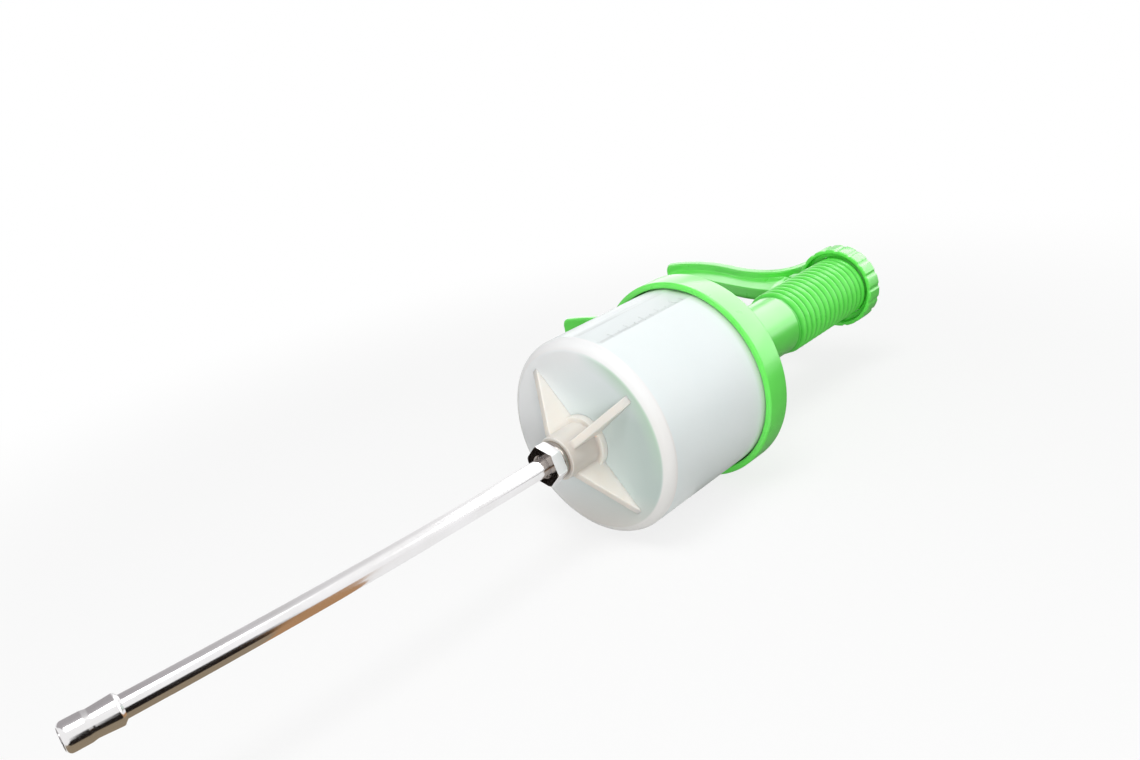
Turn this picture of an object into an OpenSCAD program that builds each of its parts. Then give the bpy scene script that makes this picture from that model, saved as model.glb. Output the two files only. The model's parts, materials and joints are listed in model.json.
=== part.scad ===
// Livestock drencher: a squeeze-handled dosing pump for giving liquids to cattle and sheep.
// The X axis runs along the barrel towards the tail, Y points to the handle tips and Z is up.
// Stations along X are counted from the front face of the barrel.

/* [Barrel] */
// Outer radius of the barrel
barrel_r = 44; // [40:0.5:48]
// Side wall of the barrel
barrel_wall = 2; // [1.6:0.1:2.6]
// Length of the barrel, front face to rear rim
barrel_len = 73; // [66:1:80]
// Thickness of the front wall
front_wall = 2.5; // [2:0.1:3.5]
// Radius of the rounded front corner
corner_r = 4.4; // [3.2:0.1:6]
// Radius of the outlet hub
hub_r = 9.5; // [8.5:0.1:11]
// Length of the outlet hub in front of the face
hub_len = 18; // [15:0.5:22]
// Radius of the step round the foot of the hub
hub_foot_r = 12; // [11.2:0.1:14]
// Height of the step round the foot of the hub
hub_foot_len = 3; // [2:0.1:5]
// Number of gusset fins round the hub
fin_count = 4; // [3:1:6]
// Thickness of a fin
fin_t = 3; // [2:0.1:4]
// Radius at which a fin runs out on the face
fin_reach = 37; // [32:0.5:38]
// Turn of the first fin from the handle side
fin_turn = 52; // [0:1:90]
// Width of the flat strip that carries the scale
strip_w = 16; // [12:0.5:18]
// Turn of the strip from the handle side
strip_turn = 98; // [60:1:150]

/* [Nozzle] */
// Outer radius of the tube
tube_r = 4; // [3.6:0.1:4.4]
// Radius of the liquid way
way_r = 3; // [2.4:0.1:3.2]
// Length of the tube along its gentle curve
tube_len = 181; // [130:1:230]
// Angle that the tube curves through, towards the handles
tube_turn = 6.4; // [2:0.1:12]
// Width of the hexagon nut across its flats
nut_flats = 15.5; // [15:0.5:18]
// Turn of the hexagon nut's first corner from the handle side
nut_turn = 16; // [0:1:59]
// Length of the hexagon nut
nut_len = 5.4; // [5:0.1:7]
// Thickness of the fitting's flange behind the nut
flange_t = 2.4; // [1.5:0.1:3]
// Largest radius of the drenching tip
tip_r = 5.4; // [5:0.1:6.5]
// Length of the drenching tip
tip_len = 18; // [14:0.5:24]

/* [Cap and grip tube] */
// Wall of the cap ring round the barrel
cap_wall = 2.9; // [2.4:0.1:6]
// Length of the cap ring
cap_len = 13.3; // [11:0.1:18]
// Thickness of the cap floor
cap_floor = 3.3; // [2.6:0.1:5]
// Outer radius of the grip tube
grip_r = 15; // [14.4:0.1:16]
// Radius of the bore of the grip tube
grip_bore = 12; // [11.8:0.1:12.4]
// Length of the smooth stretch of the grip tube
smooth_len = 61; // [56:1:70]
// Length of the threaded sleeve
sleeve_len = 66.7; // [62:0.1:74]
// Pitch of the dose thread
thread_pitch = 4.4; // [3.6:0.1:5.2]
// Height of the dose thread
thread_h = 1.6; // [1:0.1:1.8]

/* [Dose nut] */
// Outer radius of the dose nut
dose_r = 21.5; // [20.6:0.1:22]
// Length of the dose nut
dose_len = 10; // [8:0.5:12]
// Number of scallops round the dose nut
scallop_count = 18; // [12:1:24]
// Radius of one scallop
scallop_r = 2; // [1.5:0.1:2.6]

/* [Plunger] */
// Radius of the piston rod
rod_r = 5; // [4.5:0.1:5.5]
// Thickness of the piston
piston_t = 10; // [8:0.5:12]
// Thickness of the plate behind the piston
plate_t = 3; // [2:0.1:4]
// Section radius of the sealing ring
seal_r = 1.75; // [1.4:0.05:2]
// Wire radius of the return spring
wire_r = 0.9; // [0.7:0.05:1.1]
// Number of turns of the return spring
spring_turns = 14; // [10:1:16]

/* [Handles] */
// Reach of both handles from the barrel axis
handle_reach = 118; // [106:1:126]
// Half the width of a handle's bead
bead_half = 9; // [7:0.5:10]
// Depth of a handle's bead
bead_depth = 4.6; // [3.6:0.1:6]
// Thickness of a handle's web along its free edge
web_t = 6; // [4.5:0.1:6.4]
// Thickness of a handle's web where it joins the bead
web_root_t = 11; // [8:0.1:13]

/* [Hidden] */
$fn = 72;

// Overrun of every cut
overrun = 1;
// Gap between pieces that run past each other
run_gap = 0.4;
// Gap of a close running fit
fit_gap = 0.05;
// Gap between pieces that are screwed or pushed together
seat_gap = 0.2;

// Colours
green = [0.32, 0.86, 0.28];
milky = [0.86, 0.90, 0.88, 0.65];
chrome = [0.78, 0.78, 0.80];
steel = [0.66, 0.67, 0.69];
rubber = [0.12, 0.12, 0.13];
white = [0.92, 0.92, 0.90];

// Stations of the barrel and the cap
gasket_t = 2;
x_floor = barrel_len + gasket_t;
x_back = x_floor + cap_floor;
x_ring = x_back - cap_len;
bore_r = barrel_r - barrel_wall;
cap_edge = 1.2;
cap_bore = barrel_r + run_gap;
cap_r = cap_bore + cap_wall;
foot_flare = 2.5;
x_strip = 7;
strip_flat = sqrt(barrel_r * barrel_r - strip_w * strip_w / 4);

// Stations of the grip tube and the dose nut
x_thread = x_back + smooth_len;
x_tail = x_thread + sleeve_len;
crest_r = grip_r + thread_h;
dose_proud = 2.3;
x_dose = x_tail + dose_proud - dose_len;
dose_lip = 2.5;
dose_recess = 3;
dose_edge = 0.8;
scallop_out_share = 0.72;

// The threaded sleeve: its plain ends and the crest of one turn
lead_len = 2;
turn_count = floor((sleeve_len - 2 * lead_len) / thread_pitch);
crest_share = 0.28;
flank_share = 0.26;

// Stations of the nozzle, which all lie in front of the face
x_hub = -hub_len;
x_flange = x_hub - flange_t;
x_nut = x_flange - nut_len;
nut_front_wall = 1.2;
collar_t = 1;
seal_t = 0.9;
x_collar = x_nut + nut_front_wall;
x_seal = x_collar + collar_t;
x_spigot = x_seal + seal_t;
spigot_r = 5.7;
fitting_flange_r = 8.1;
hub_floor = 2;
fitting_depth = hub_len - hub_floor;
curve_r = tube_len * 180 / (PI * tube_turn);
tube_end = [x_seal - curve_r * sin(tube_turn), curve_r * (1 - cos(tube_turn))];

// The drenching tip, as shares of its length and radius
tip_shoulder_share = 0.07;
tip_waist_share = 0.50;
tip_front_share = 0.60;
tip_waist_r_share = 0.90;
tip_front_r_share = 0.96;
tip_round = 2;
socket_share = 0.45;
socket_len = tip_len * socket_share;
outlet_r = 3.5;
tip_out = tip_len - socket_len;

// Stations of the plunger at rest, fully back
guide_flange_t = 2;
guide_r = 8;
guide_flange_r = 11;
guide_len = 9;
rest_gap = 1.5;
x_shoulder = x_floor - guide_flange_t - rest_gap;
x_plate = x_shoulder - plate_t;
x_piston = x_plate - piston_t;
end_gap = 2;
stroke = x_piston - front_wall - end_gap;
piston_gap = 0.8;
piston_r = bore_r - piston_gap;
plate_share = 0.7;
plate_r = bore_r * plate_share;
seal_groove = 2 * (seal_r + fit_gap);
seal_mid_r = bore_r - fit_gap - seal_r;
stud_share = 0.6;
stud_r = rod_r * stud_share;
stud_inset = 0.5;
small_nut_r = 6;
small_nut_t = 4;
small_nut_room = 1.2;

// Stations of the rod's tail and the moving handle's eye
tail_end_gap = 2.5;
plug_in = 2.5;
plug_flange_t = 1.5;
eye_len = 11;
washer_t = 1.5;
lock_nut_t = 5.5;
rod_tip = 1.5;
lock_nut_r = 9.2;
x_rod_end = x_tail - plug_in - tail_end_gap;
x_lock = x_rod_end - rod_tip - lock_nut_t;
x_washer = x_lock - washer_t;
x_eye = x_washer - eye_len;
eye_gap = 0.7;
eye_r = grip_bore - eye_gap;
collar_flange_t = 2.5;
collar_nose = 4;
collar_nose_r = 6.8;
x_spring_end = x_eye - collar_flange_t;

// The slot that the moving handle's tongue runs in
slot_gap = 0.5;
slot_end_gap = 1.5;
slot_w = web_t + 2 * slot_gap;
x_slot = x_eye - stroke - slot_end_gap;

// The return spring
spring_r = 8.5;
spring_seat = 0.15;
spring_x0 = x_back + wire_r + spring_seat;
spring_x1 = x_spring_end - wire_r - spring_seat;
curl_rings = 8;
wire_sides = 6;

// Handle outlines as shares of the reach: along X from the dose nut's face or the cap's back, then along Y
horn_depth_share = 0.45;
palm_shares = [[0.163, 0.236], [0.122, 0.246], [0.084, 0.259], [0.054, 0.281], [0.028, 0.322],
               [0.016, 0.386], [0.030, 0.494], [0.068, 0.608], [0.100, 0.725], [0.112, 0.831],
               [0.106, 0.905], [0.088, 0.965], [0.056, 1.020]];
web_front_shares = [[0.016, 0.990], [0.004, 0.796], [-0.051, 0.627], [-0.095, 0.471], [-0.124, 0.333],
                    [-0.133, 0.242]];
finger_shares = [[-0.023, 0.240], [0.092, 0.305], [0.180, 0.390], [0.241, 0.492], [0.269, 0.602],
                 [0.272, 0.712], [0.256, 0.808], [0.235, 0.880], [0.200, 0.952]];
web_rear_shares = [[0.242, 0.956], [0.300, 0.872], [0.356, 0.762], [0.380, 0.640], [0.382, 0.508],
                   [0.380, 0.381], [0.384, 0.254], [0.395, 0.150]];
curve_steps = 4;
bead_edge = 1.1;
bead_edge_share = 0.3;
bead_draft = 0.6;
wedge_steps = 16;
wedge_grow = 3;
wedge_sink = 0.3;
wedge_inset = 1;
thin_share = 0.3;
palm_neck = 4;
pad_len = 6;
pad_half = 8;
pad_over = 2;
pad_top = dose_r + pad_over;
tongue_gap = 1;
tongue_step = grip_bore - tongue_gap;

function spline_point(p, i, u) =
    let (a = p[max(i - 1, 0)], b = p[i], c = p[i + 1], d = p[min(i + 2, len(p) - 1)])
    0.5 * (2 * b + (c - a) * u + (2 * a - 5 * b + 4 * c - d) * u * u + (3 * b - a - 3 * c + d) * u * u * u);
function curve(p) =
    [for (i = [0 : len(p) - 2]) for (k = [0 : curve_steps - 1]) spline_point(p, i, k / curve_steps),
     p[len(p) - 1]];
function scaled(shares, x0) = [for (s = shares) [x0 + s.x * handle_reach, s.y * handle_reach]];
function unit(v) = v / norm(v);
function heading(p, i) = unit(p[min(i + 1, len(p) - 1)] - p[max(i - 1, 0)]);
function inward(p, i, side) = let (h = heading(p, i)) side * [-h.y, h.x];
function inset(p, depth, side, from) = [for (i = [from : len(p) - 1]) p[i] + depth * inward(p, i, side)];

palm_line = curve(scaled(palm_shares, x_dose));
palm_front = curve(scaled(web_front_shares, x_dose));
finger_line = curve(scaled(finger_shares, x_back));
finger_rear = curve(scaled(web_rear_shares, x_back));

// Section of a handle's bead: an oblong with turned edges, a little narrower on its inner side
function bead_section(depth) =
    let (out = bead_half, in = bead_half - bead_draft, edge = min(bead_edge, depth * bead_edge_share))
    [[out, edge], [out - edge, 0], [edge - out, 0], [-out, edge],
     [-in, depth - edge], [edge - in, depth], [in - edge, depth], [in, depth - edge]];
// The bead thins towards the start of its line, over the dose nut
function depth_at(u, start_share) = bead_depth * (start_share + (1 - start_share) * min(1, u / thin_share));
function bead_points(p, side, start_share) =
    [for (i = [0 : len(p) - 1])
        let (n = inward(p, i, side), depth = depth_at(i / (len(p) - 1), start_share))
        for (q = bead_section(depth)) [p[i].x + n.x * q.y, p[i].y + n.y * q.y, -side * q.x]];

palm_points = bead_points(palm_line, 1, horn_depth_share);

// Sections of a web that thickens from its free edge to the bead, at even heights along Y
function x_on(line, y) = lookup(y, [for (p = line) [p.y, p.x]]);
function wedge_half(y, y0) = (web_t + (web_root_t - web_t) * min(1, (y - y0) / wedge_grow)) / 2;
function wedge_points(root, edge, y0, y1, side) =
    [for (i = [0 : wedge_steps])
        let (y = y0 + (y1 - y0) * i / wedge_steps,
             x_root = x_on(root, y), x_edge = x_on(edge, y) + side * wedge_inset,
             thick = side * wedge_half(y, y0), thin = side * (web_t / 2 - wedge_sink))
        each [[x_root, y, -thick], [x_root, y, thick], [x_edge, y, thin], [x_edge, y, -thin]]];

// The box of the whole part, from which its origin is taken
tip_end_x = tube_end.x - tip_out * cos(tube_turn);
tip_flat_r = tip_r * tip_front_r_share - tip_round;
x_low = tip_end_x + tip_round * cos(tube_turn) - tip_flat_r * sin(tube_turn) - tip_round;
x_high = max(x_tail + dose_proud, max([for (p = palm_points) p.x]));
y_high = max(max([for (p = palm_points) p.y]), max([for (p = palm_front) p.y]));
origin = [(x_low + x_high) / 2, (y_high - cap_r) / 2, -cap_r];

// Least gap between the turns of the return spring, measured on its own points
spring_pitch = (spring_x1 - spring_x0) / spring_turns;
function spring_point(i) =
    let (a = 360 * i / curl_rings)
    [spring_x0 + spring_pitch * i / curl_rings, spring_r * cos(a), spring_r * sin(a)];
spring_mids = [for (i = [0 : spring_turns * curl_rings]) spring_point(i)];
spring_gap = min([for (i = [0 : curl_rings]) for (k = [-1 : 1])
    norm(spring_mids[i + curl_rings + k] - spring_mids[i])]) - 2 * wire_r;
ml_per_mm3 = 0.001;
dose_ml = PI * bore_r * bore_r * stroke * ml_per_mm3;
echo(spring_least_gap = spring_gap, stroke = stroke, dose_ml = dose_ml, origin = origin);

module place() { translate(-origin) children(); }
module along_x(x = 0) { translate([x, 0, 0]) rotate([0, 90, 0]) children(); }
module bar(r, x0, x1) { along_x(x0) cylinder(r = r, h = x1 - x0); }
module hole(r, x0, x1) { bar(r, x0 - overrun, x1 + overrun); }
module ring(r_in, r_out, x0, x1) { difference() { bar(r_out, x0, x1); hole(r_in, x0, x1); } }
module hexagon(flats, x0, x1) { along_x(x0) cylinder(r = flats / sqrt(3), h = x1 - x0, $fn = 6); }

// Half section of a cup with a rounded front corner, drawn as radius against length
module cup_section(r, len, corner) {
    square([r - corner, len]);
    translate([0, corner]) square([r, len - corner]);
    translate([r - corner, corner]) circle(corner);
}

// Half section of a ring with two rounded outer corners
module rim_section(r_in, r_out, x0, x1, edge) {
    translate([r_in, x0]) square([r_out - edge - r_in, x1 - x0]);
    translate([r_in, x0 + edge]) square([r_out - r_in, x1 - x0 - 2 * edge]);
    for (x = [x0 + edge, x1 - edge]) translate([r_out - edge, x]) circle(edge);
}

// A section swept along a line, as one closed skin
module swept(points, rings) {
    sides = len(points) / rings;
    walls = [for (i = [0 : rings - 2]) for (k = [0 : sides - 1])
        let (a = i * sides + k, b = i * sides + (k + 1) % sides)
        each [[a, b, a + sides], [b, b + sides, a + sides]]];
    first = [for (k = [sides - 1 : -1 : 0]) k];
    last = [for (k = [0 : sides - 1]) (rings - 1) * sides + k];
    polyhedron(points, concat(walls, [first, last]));
}

module web(outline) { linear_extrude(web_t, center = true) polygon(outline); }
module wedge(root, edge, y0, side) {
    swept(wedge_points(root, edge, y0, edge[0].y, side), wedge_steps + 1);
}

module barrel() {
    color(milky) place() difference() {
        union() {
            along_x() rotate_extrude() difference() {
                cup_section(barrel_r, barrel_len, corner_r);
                translate([0, front_wall]) cup_section(bore_r, barrel_len, corner_r - barrel_wall);
            }
            bar(hub_r, x_hub, front_wall / 2);
            bar(hub_foot_r, -hub_foot_len, front_wall / 2);
            for (i = [0 : fin_count - 1]) rotate([fin_turn + i * 360 / fin_count, 0, 0])
                linear_extrude(fin_t, center = true)
                    polygon([[front_wall / 2, 0], [front_wall / 2, fin_reach], [0, fin_reach],
                             [x_hub + hub_foot_len, hub_r], [x_hub + hub_foot_len, 0]]);
        }
        hole(spigot_r, x_hub, x_hub + fitting_depth - overrun);
        hole(way_r, x_hub, front_wall);
        rotate([strip_turn, 0, 0]) translate([x_strip, strip_flat, -strip_w])
            cube([barrel_len - x_strip + overrun, barrel_r, 2 * strip_w]);
    }
}

module barrel_gasket() {
    color(rubber) place() ring(bore_r, barrel_r, barrel_len, x_floor);
}

module hub_fitting() {
    color(chrome) place() difference() {
        union() {
            bar(spigot_r, x_spigot, x_hub + fitting_depth);
            bar(fitting_flange_r, x_flange, x_hub);
        }
        hole(way_r, x_spigot, x_hub + fitting_depth);
    }
}

module nozzle_seal() {
    color(rubber) place() ring(way_r, spigot_r, x_seal, x_spigot);
}

module tube_collar() {
    color(chrome) place() ring(tube_r + fit_gap, spigot_r, x_collar, x_seal);
}

// A hexagon with its corners turned off at both ends
module nozzle_nut() {
    corner = nut_flats / sqrt(3);
    turned = nut_flats / 2;
    bevel = (corner - turned) / 2;
    color(chrome) place() rotate([nut_turn + 90, 0, 0]) difference() {
        intersection() {
            hexagon(nut_flats, x_nut, x_flange);
            along_x(x_nut) rotate_extrude() polygon([[0, 0], [turned, 0], [corner, bevel],
                [corner, nut_len - bevel], [turned, nut_len], [0, nut_len]]);
        }
        hole(spigot_r + seat_gap, x_collar + overrun, x_flange);
        hole(tube_r + seat_gap, x_nut, x_collar);
    }
}

// What the tube carries is drawn along X from the tube's end and then turned with it
module at_tube_end() { translate([tube_end.x, tube_end.y, 0]) rotate([0, 0, -tube_turn]) children(); }

module nozzle_tube() {
    color(chrome) place() translate([x_seal, curve_r, 0]) rotate([0, 0, -90 - tube_turn])
        rotate_extrude(angle = tube_turn) translate([curve_r, 0]) difference() {
            circle(tube_r);
            circle(way_r);
        }
}

// A waisted olive: bevelled shoulder, tapered rear half and a rounded front half
module nozzle_tip() {
    front_r = tip_r * tip_front_r_share;
    color(chrome) place() at_tube_end() translate([-tip_out, 0, 0]) difference() {
        along_x() rotate_extrude() {
            cup_section(front_r, tip_len * (1 - tip_front_share), tip_round);
            polygon([[0, tip_round], [front_r, tip_round], [front_r, tip_len * (1 - tip_front_share)],
                     [tip_r * tip_waist_r_share, tip_len * (1 - tip_waist_share)],
                     [tip_r, tip_len * (1 - tip_shoulder_share)],
                     [tube_r + seat_gap, tip_len], [0, tip_len]]);
        }
        hole(tube_r + fit_gap, tip_out + overrun, tip_len);
        hole(outlet_r, 0, tip_out);
    }
}

// Cap ring, cap floor, smooth grip tube and the fixed finger handle are one moulding
module housing() {
    finger_root = inset(finger_line, bead_depth / 2, -1, 0);
    color(green) place() difference() {
        union() {
            along_x() rotate_extrude() {
                rim_section(cap_bore, cap_r, x_ring, x_back, cap_edge);
                translate([guide_r, x_floor]) square([cap_bore + cap_edge - guide_r, cap_floor]);
                translate([grip_bore, x_floor]) square([grip_r - grip_bore, x_thread - x_floor]);
                polygon([[grip_r, x_floor], [grip_r + foot_flare, x_floor], [grip_r + foot_flare, x_back],
                         [grip_r, x_back + foot_flare]]);
            }
            difference() {
                union() {
                    swept(bead_points(finger_line, -1, 1), len(finger_line));
                    web(concat([[x_floor + cap_floor / 2, grip_bore]], finger_root, finger_rear,
                               [[finger_rear[len(finger_rear) - 1].x, grip_bore]]));
                    wedge(finger_root, finger_rear, grip_bore, -1);
                }
                bar((grip_bore + grip_r) / 2, x_floor, x_tail);
            }
        }
        slot();
    }
}

module slot() {
    translate([x_slot, 0, -slot_w / 2]) cube([x_tail - x_slot + overrun, crest_r + overrun, slot_w]);
}

// One turn of the dose thread, drawn as a ridge round the sleeve
module ridge(x) {
    crest = thread_pitch * crest_share;
    flank = thread_pitch * flank_share;
    foot = crest / 2 + flank;
    polygon([[grip_bore, x - foot], [grip_r, x - foot], [crest_r, x - crest / 2],
             [crest_r, x + crest / 2], [grip_r, x + foot], [grip_bore, x + foot]]);
}

module thread_sleeve() {
    color(green) place() difference() {
        along_x() rotate_extrude() {
            translate([grip_bore, x_thread]) square([grip_r - grip_bore, sleeve_len]);
            for (i = [0 : turn_count - 1]) ridge(x_thread + lead_len + (i + 0.5) * thread_pitch);
        }
        slot();
    }
}

module tail_plug() {
    color(green) place() {
        bar(grip_bore - seat_gap, x_tail - plug_in, x_tail);
        bar(grip_r, x_tail, x_tail + plug_flange_t);
    }
}

module rod_guide() {
    color(white) place() difference() {
        union() {
            bar(guide_flange_r, x_floor - guide_flange_t, x_floor);
            bar(guide_r - seat_gap, x_floor, x_back);
            bar(collar_nose_r, x_back, x_floor + guide_len);
        }
        hole(rod_r + fit_gap, x_floor - guide_flange_t, x_floor + guide_len);
    }
}

// Scalloped ring with a hollow lip towards the handles
module dose_nut() {
    color(green) place() difference() {
        along_x() rotate_extrude() difference() {
            rim_section(crest_r + run_gap, dose_r, x_dose, x_dose + dose_len, dose_edge);
            translate([0, x_dose - overrun]) square([dose_r - dose_lip, dose_recess + overrun]);
        }
        for (i = [0 : scallop_count - 1]) rotate([360 * i / scallop_count, 0, 0])
            translate([0, dose_r + scallop_r * scallop_out_share, 0])
                hole(scallop_r, x_dose, x_dose + dose_len);
    }
}

module piston() {
    color(white) place() difference() {
        bar(piston_r, x_piston, x_plate);
        along_x(x_piston + (piston_t - seal_groove) / 2) rotate_extrude()
            translate([seal_mid_r - seal_r - fit_gap, 0]) square([barrel_r, seal_groove]);
        hole(stud_r + fit_gap, x_piston, x_plate);
        hole(small_nut_r + small_nut_room, x_piston, x_piston + small_nut_t - overrun);
    }
}

module piston_seal() {
    color(rubber) place() along_x(x_piston + piston_t / 2) rotate_extrude()
        translate([seal_mid_r, 0]) circle(seal_r);
}

module piston_plate() {
    color(steel) place() ring(stud_r + fit_gap, plate_r, x_plate, x_shoulder);
}

module piston_nut() {
    color(steel) place() difference() {
        hexagon(small_nut_r * sqrt(3), x_piston, x_piston + small_nut_t);
        hole(stud_r + fit_gap, x_piston, x_piston + small_nut_t);
    }
}

module piston_rod() {
    color(steel) place() {
        bar(stud_r, x_piston + stud_inset, x_shoulder);
        bar(rod_r, x_shoulder, x_rod_end);
    }
}

module spring_collar() {
    color(white) place() difference() {
        union() {
            bar(eye_r, x_spring_end, x_eye);
            bar(collar_nose_r, x_spring_end - collar_nose, x_spring_end);
        }
        hole(rod_r + fit_gap, x_spring_end - collar_nose, x_eye);
    }
}

// One unbroken wire wound round the rod
module return_spring() {
    rings = len(spring_mids);
    wire = [for (i = [0 : rings - 1]) for (k = [0 : wire_sides - 1])
        let (a = 360 * i / curl_rings, b = 360 * k / wire_sides, r = spring_r + wire_r * cos(b))
        [spring_mids[i].x + wire_r * sin(b), r * cos(a), r * sin(a)]];
    color(steel) place() swept(wire, rings);
}

// Palm handle: rounded bead, web, the pad that bears on the dose nut and the eye on the rod
module moving_handle() {
    x_pad = x_dose - run_gap;
    palm_sink = bead_depth * horn_depth_share / 2;
    outline = concat([[x_eye, rod_r], [x_washer, rod_r], [x_washer, tongue_step], [x_pad, tongue_step],
                      [x_pad, pad_top]],
                     inset(palm_line, bead_depth / 2, 1, palm_neck * curve_steps), palm_front);
    color(green) place() difference() {
        union() {
            swept(palm_points, len(palm_line));
            web(outline);
            wedge(inset(palm_line, palm_sink, 1, 0), palm_front, palm_front[len(palm_front) - 1].y, 1);
            difference() {
                translate([x_pad - pad_len, 0, -pad_half]) cube([pad_len, pad_top, 2 * pad_half]);
                hole(crest_r + run_gap, x_pad - pad_len, x_pad);
            }
            bar(eye_r, x_eye, x_washer);
        }
        hole(rod_r + fit_gap, x_eye, x_washer);
    }
}

module rod_washer() {
    color(steel) place() ring(rod_r + fit_gap, lock_nut_r, x_washer, x_lock);
}

module rod_lock_nut() {
    color(steel) place() difference() {
        hexagon(lock_nut_r * sqrt(3), x_lock, x_lock + lock_nut_t);
        hole(rod_r + fit_gap, x_lock, x_lock + lock_nut_t);
    }
}

barrel();
barrel_gasket();
hub_fitting();
nozzle_seal();
nozzle_nut();
nozzle_tube();
tube_collar();
nozzle_tip();
housing();
thread_sleeve();
tail_plug();
rod_guide();
dose_nut();
piston();
piston_seal();
piston_plate();
piston_nut();
piston_rod();
spring_collar();
return_spring();
moving_handle();
rod_washer();
rod_lock_nut();
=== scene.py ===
"""Livestock drencher: the looks, built round the fixed frame.

Lengths are millimetres, counted from the middle of the barrel's front face:
x runs along the axis to the tail, y to the handle tips and z up.
"""

import json
import math

import bmesh
import bpy
from mathutils import Matrix, Vector


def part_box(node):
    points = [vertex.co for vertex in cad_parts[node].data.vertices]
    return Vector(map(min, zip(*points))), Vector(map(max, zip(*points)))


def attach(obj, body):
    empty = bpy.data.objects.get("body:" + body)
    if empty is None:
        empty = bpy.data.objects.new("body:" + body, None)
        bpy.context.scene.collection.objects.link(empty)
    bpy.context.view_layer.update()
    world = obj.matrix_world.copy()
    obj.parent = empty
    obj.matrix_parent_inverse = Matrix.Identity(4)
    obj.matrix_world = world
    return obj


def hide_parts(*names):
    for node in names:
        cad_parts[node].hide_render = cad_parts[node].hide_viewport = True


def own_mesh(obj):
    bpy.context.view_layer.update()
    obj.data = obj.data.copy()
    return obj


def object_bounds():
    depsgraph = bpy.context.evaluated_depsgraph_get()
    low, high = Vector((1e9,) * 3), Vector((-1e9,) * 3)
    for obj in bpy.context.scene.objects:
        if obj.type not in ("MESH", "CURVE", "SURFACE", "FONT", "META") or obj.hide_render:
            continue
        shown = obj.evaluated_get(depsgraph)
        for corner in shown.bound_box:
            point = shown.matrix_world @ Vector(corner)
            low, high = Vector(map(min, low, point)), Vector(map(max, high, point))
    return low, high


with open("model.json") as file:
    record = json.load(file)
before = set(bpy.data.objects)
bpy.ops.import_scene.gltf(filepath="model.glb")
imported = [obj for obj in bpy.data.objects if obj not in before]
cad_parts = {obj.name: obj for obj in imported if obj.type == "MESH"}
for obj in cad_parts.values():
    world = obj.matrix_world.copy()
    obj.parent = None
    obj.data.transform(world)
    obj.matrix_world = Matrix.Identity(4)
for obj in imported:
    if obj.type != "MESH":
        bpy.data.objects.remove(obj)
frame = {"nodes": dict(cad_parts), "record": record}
cad_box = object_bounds()

MM = 0.001
HUB_LEN = 18
barrel_low, barrel_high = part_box("barrel")
FACE = Vector((barrel_low.x + HUB_LEN * MM,
               (barrel_low.y + barrel_high.y) / 2,
               (barrel_low.z + barrel_high.z) / 2))


def at(x, y, z):
    """A place in the frame, from millimetres on the barrel's axis."""
    return FACE + MM * Vector((x, y, z))


def ends(node):
    """First and last station of a node along the axis, in millimetres."""
    low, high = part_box(node)
    return (low.x - FACE.x) / MM, (high.x - FACE.x) / MM


def half_height(node):
    """Half the height of a node, which is the radius of a round one."""
    low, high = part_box(node)
    return (high.z - low.z) / 2 / MM


# Sizes taken from the frame
X_HUB, X_RIM = ends("barrel")
BARREL_R = half_height("barrel")
X_RING = ends("housing")[0]
CAP_R = half_height("housing")
X_THREAD, X_TAIL = ends("thread_sleeve")
CREST_R = half_height("thread_sleeve")
X_DOSE, X_DOSE_END = ends("dose_nut")
X_FLOOR = ends("barrel_gasket")[1]
X_EYE = ends("spring_collar")[1]
X_WASHER = ends("rod_washer")[0]
X_SPRING, X_SPRING_END = ends("return_spring")
X_NUT, X_FLANGE = ends("nozzle_nut")
X_SEAL, X_SPIGOT = ends("nozzle_seal")
X_FITTING_END = ends("hub_fitting")[1]
X_PLUG, X_PLUG_END = ends("tail_plug")
PLUG_R = half_height("tail_plug")

# Barrel, hub and fins
BARREL_WALL = 2
FRONT_WALL = 2.5
CORNER_R = 4.4
FACE_R = BARREL_R - CORNER_R
HUB_R = 9.5
HUB_FOOT_R = 12
HUB_FOOT_LEN = 3
FIN_COUNT = 4
FIN_T = 3.6
FIN_REACH = 37
FIN_TURN = math.radians(52)
X_STRIP = 7
STRIP_TURN = math.radians(98)
STRIP_HALF = math.radians(10.5)

# Tube, tip, union nut and fitting
SPIGOT_R = 5.7
TUBE_R = 4
WAY_R = 3
TUBE_LEN = 181
TUBE_TURN = math.radians(6.4)
CURVE_R = TUBE_LEN / TUBE_TURN
TIP_R = 5.4
TIP_LEN = 17.9
TIP_SOCKET = 8.1
OUTLET_R = 3.5
NUT_FLATS = 15.5
NUT_TURN = math.radians(16)
FLANGE_R = 8.1

# Cap, grip tube, dose thread and dose nut
CAP_FLOOR = 3.3
CAP_GAP = 0.4
GUIDE_R = 8
GRIP_R = 15
GRIP_BORE = 12
SLOT_HALF = 3.5
SLOT_PLAY = 1.5
THREAD_PITCH = 4.4
THREAD_LEAD = 2
THREAD_FIT = 0.12
GROOVE = 0.9
DOSE_R = 21.5
SCALLOPS = 18
SCALLOP_R = 2
SCALLOP_OUT = 0.72

# Rod and handles
ROD_R = 5.05
EYE_R = 11.3
STROKE = 54
REACH = 118
WEB_HALF = 3
WEB_ROOT_HALF = 5.5
WEB_GROW = 3
BEAD_HALF = 9
BEAD_DEPTH = 4.6
BEAD_DRAFT = 0.6
BEAD_EDGE = 0.9
BEAD_CORNER = 3
X_BACK = X_FLOOR + CAP_FLOOR
X_SLOT = X_EYE - STROKE - SLOT_PLAY

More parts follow.
